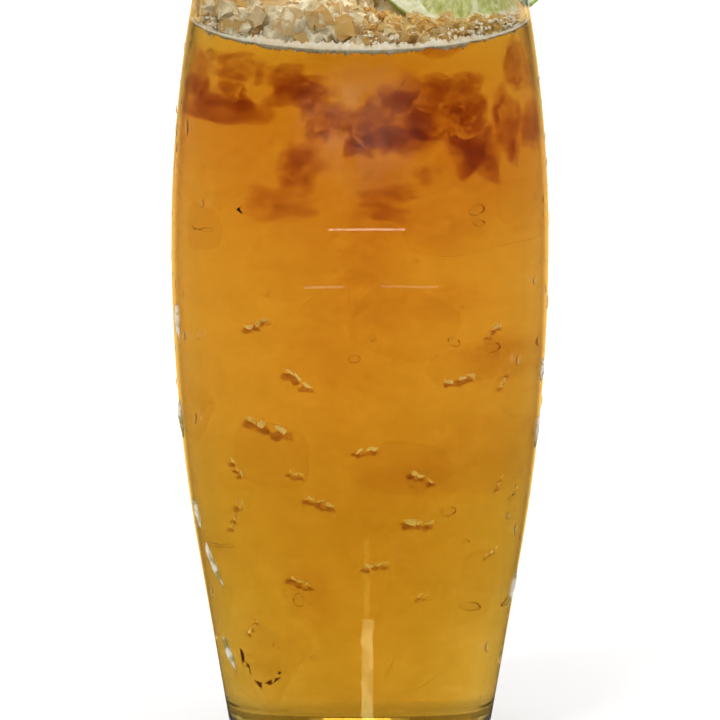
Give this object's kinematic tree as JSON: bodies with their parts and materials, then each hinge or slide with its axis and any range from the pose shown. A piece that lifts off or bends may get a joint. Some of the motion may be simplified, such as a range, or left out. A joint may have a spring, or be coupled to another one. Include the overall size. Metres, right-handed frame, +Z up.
{
  "type": "glass of iced tea",
  "caption": "Tall barrel-shaped clear glass filled with amber iced tea and crushed ice, with a round lime slice slit onto its rim.",
  "frame": {"origin": "middle of the glass's foot, on the surface it stands on", "axes": "+Z up along the glass's axis, +X towards the lime slice on the rim"},
  "size_m": [0.0798, 0.0752, 0.1902],
  "materials": {
    "clear_glass": "clear polished glass with cold water drops on its outside",
    "tea": "clear amber drink, red-brown near its top and golden at its foot",
    "ice": "wet crushed ice stained by the tea",
    "lime": "wet pale green flesh, white pith and green peel"
  },
  "bodies": {
    "root": {"glass": "clear_glass", "iced_tea": "tea", "crushed_ice": "ice", "lime_slice": "lime"}
  },
  "joints": []
}
